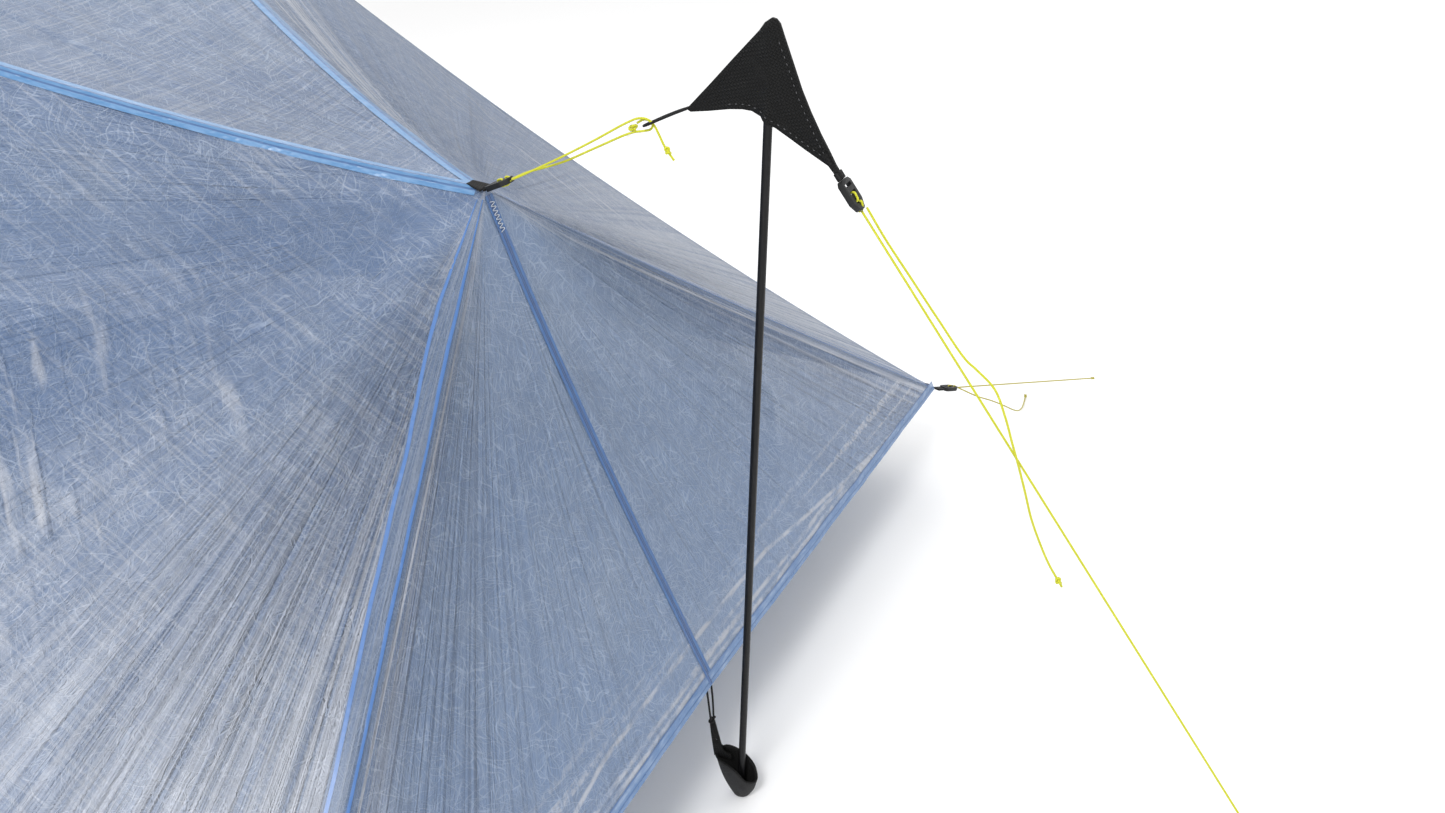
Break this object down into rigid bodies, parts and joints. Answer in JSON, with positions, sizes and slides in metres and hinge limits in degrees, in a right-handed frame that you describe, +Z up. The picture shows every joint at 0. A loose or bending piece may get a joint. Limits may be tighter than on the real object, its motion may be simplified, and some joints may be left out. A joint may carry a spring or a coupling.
{
  "type": "frame tent",
  "caption": "Pole-held shelter with a faceted laminate canopy, hinged storm doors, netting, bathtub floor, and an end strut with a fabric cap that lifts one end tie-out.",
  "frame": {"origin": "middle of the underside of the floor, on the ground", "axes": "+X along the tent towards the end with the strut, +Y across it, +Z up"},
  "size_m": [3.1815, 2.1648, 1.2198],
  "materials": {
    "canopy": "thin laminate with loose white fibres, crinkled, half matt",
    "storm_door": "the same laminate",
    "netting": "fine black knitted mesh",
    "floor": "heavier laminate, half matt",
    "heavy_fabric": "coarse black weave with a bound hem",
    "webbing": "flat black ribbed tape",
    "tensioner": "moulded black plastic",
    "zip_metal": "black lacquered slider with a pull",
    "carbon": "smooth wound carbon tube",
    "rubber_foot": "moulded rubber",
    "tip_plastic": "moulded black plastic",
    "black_cord": "thin braided cord",
    "lime_cord": "pale lime braided cord"
  },
  "bodies": {
    "shelter": {"corner_cord": "lime_cord", "corner_cord_tail": "lime_cord", "corner_tensioner_px_py": "tensioner", "corner_webbing_nx_ny": "webbing", "corner_webbing_nx_py": "webbing", "corner_webbing_px_ny": "webbing", "corner_webbing_px_py": "webbing", "cup_tether": "black_cord", "end_panel_nx_ny": "canopy", "end_panel_nx_py": "canopy", "end_panel_px_ny": "canopy", "end_panel_px_py": "canopy", "floor_tray": "floor", "guy_line": "lime_cord", "netting_end_nx": "netting", "netting_end_px": "netting", "netting_side_ny": "netting", "netting_side_py": "netting", "pole_foot_ny": "rubber_foot", "pole_foot_py": "rubber_foot", "pole_lower_ny": "carbon", "pole_lower_py": "carbon", "pole_upper_ny": "carbon", "pole_upper_py": "carbon", "roof_panel_nx": "canopy", "roof_panel_px": "canopy", "side_panel_nx_ny": "canopy", "side_panel_nx_py": "canopy", "side_panel_px_ny": "canopy", "side_panel_px_py": "canopy", "strut_cup": "heavy_fabric", "tie_out_cord": "lime_cord", "tieout_tensioner_px": "tensioner", "tieout_webbing_nx": "webbing", "tieout_webbing_px": "webbing", "vestibule_webbing_ny": "webbing", "vestibule_webbing_py": "webbing"},
    "storm_door_px_py": {"storm_door_px_py": "storm_door"},
    "storm_door_px_ny": {"storm_door_px_ny": "storm_door"},
    "storm_door_nx_py": {"storm_door_nx_py": "storm_door"},
    "storm_door_nx_ny": {"storm_door_nx_ny": "storm_door"},
    "storm_zip_slider_py": {"storm_zip_slider_py": "zip_metal"},
    "storm_zip_slider_ny": {"storm_zip_slider_ny": "zip_metal"},
    "netting_door_py": {"netting_door_py": "netting"},
    "netting_zip_slider_py": {"netting_zip_slider_py": "zip_metal"},
    "netting_door_ny": {"netting_door_ny": "netting"},
    "netting_zip_slider_ny": {"netting_zip_slider_ny": "zip_metal"},
    "strut": {"strut_tube": "carbon", "strut_foot_tip": "tip_plastic", "strut_top_tip": "tip_plastic", "cap_fabric": "heavy_fabric", "cap_loop": "black_cord", "cap_webbing": "webbing", "cap_tensioner": "tensioner", "guy_tail": "lime_cord"},
    "corner_tensioner_px_ny": {"corner_tensioner_px_ny": "tensioner"},
    "corner_tensioner_nx_py": {"corner_tensioner_nx_py": "tensioner"},
    "corner_tensioner_nx_ny": {"corner_tensioner_nx_ny": "tensioner"},
    "tieout_tensioner_nx": {"tieout_tensioner_nx": "tensioner"}
  },
  "joints": [
    {"name": "storm_door_px_py_swing", "type": "hinge", "parent": "shelter", "child": "storm_door_px_py", "pos_m": [0, 0.5, 1.22], "axis": [0.7696, 0.1147, -0.6281], "range_deg": [0, 100]},
    {"name": "storm_door_px_ny_swing", "type": "hinge", "parent": "shelter", "child": "storm_door_px_ny", "pos_m": [0, -0.5, 1.22], "axis": [-0.7696, 0.1147, 0.6281], "range_deg": [0, 100]},
    {"name": "storm_door_nx_py_swing", "type": "hinge", "parent": "shelter", "child": "storm_door_nx_py", "pos_m": [0, 0.5, 1.22], "axis": [0.7696, -0.1147, 0.6281], "range_deg": [0, 100]},
    {"name": "storm_door_nx_ny_swing", "type": "hinge", "parent": "shelter", "child": "storm_door_nx_ny", "pos_m": [0, -0.5, 1.22], "axis": [-0.7696, -0.1147, -0.6281], "range_deg": [0, 100]},
    {"name": "storm_zip_slider_py_slide", "type": "slide", "parent": "storm_door_px_py", "child": "storm_zip_slider_py", "axis": [0, -0.4284, 0.9036], "range_m": [0, 0.94]},
    {"name": "storm_zip_slider_ny_slide", "type": "slide", "parent": "storm_door_px_ny", "child": "storm_zip_slider_ny", "axis": [0, 0.4284, 0.9036], "range_m": [0, 0.94]},
    {"name": "netting_door_py_swing", "type": "hinge", "parent": "shelter", "child": "netting_door_py", "pos_m": [0, 0.476, 1.135], "axis": [-0.7628, -0.0628, 0.6436], "range_deg": [0, 70]},
    {"name": "netting_zip_slider_py_slide", "type": "slide", "parent": "shelter", "child": "netting_zip_slider_py", "axis": [0, -0.0972, 0.9953], "range_m": [0, 0.72]},
    {"name": "netting_door_ny_swing", "type": "hinge", "parent": "shelter", "child": "netting_door_ny", "pos_m": [0, -0.476, 1.135], "axis": [0.7628, 0.0628, 0.6436], "range_deg": [0, 70]},
    {"name": "netting_zip_slider_ny_slide", "type": "slide", "parent": "shelter", "child": "netting_zip_slider_ny", "axis": [0, 0.0972, 0.9953], "range_m": [0, 0.72]},
    {"name": "strut_lean", "type": "hinge", "parent": "shelter", "child": "strut", "pos_m": [1.3305, 0, 0.006], "axis": [0, 1, 0], "range_deg": [-8, 5], "deforming": ["tie_out_cord", "guy_line"]},
    {"name": "corner_tensioner_px_ny_swing", "type": "hinge", "parent": "shelter", "child": "corner_tensioner_px_ny", "pos_m": [1.33083, -0.71557, 0.13253], "axis": [-0.9031, -0.4295, 0], "range_deg": [-35, 75]},
    {"name": "corner_tensioner_nx_py_swing", "type": "hinge", "parent": "shelter", "child": "corner_tensioner_nx_py", "pos_m": [-1.33083, 0.71557, 0.13253], "axis": [0.9031, 0.4295, 0], "range_deg": [-35, 75]},
    {"name": "corner_tensioner_nx_ny_swing", "type": "hinge", "parent": "shelter", "child": "corner_tensioner_nx_ny", "pos_m": [-1.33083, -0.71557, 0.13253], "axis": [-0.9031, 0.4295, 0], "range_deg": [-35, 75]},
    {"name": "tieout_tensioner_nx_swing", "type": "hinge", "parent": "shelter", "child": "tieout_tensioner_nx", "pos_m": [-1.15953, 0, 0.67934], "axis": [0, 1, 0], "range_deg": [0, 100]}
  ]
}
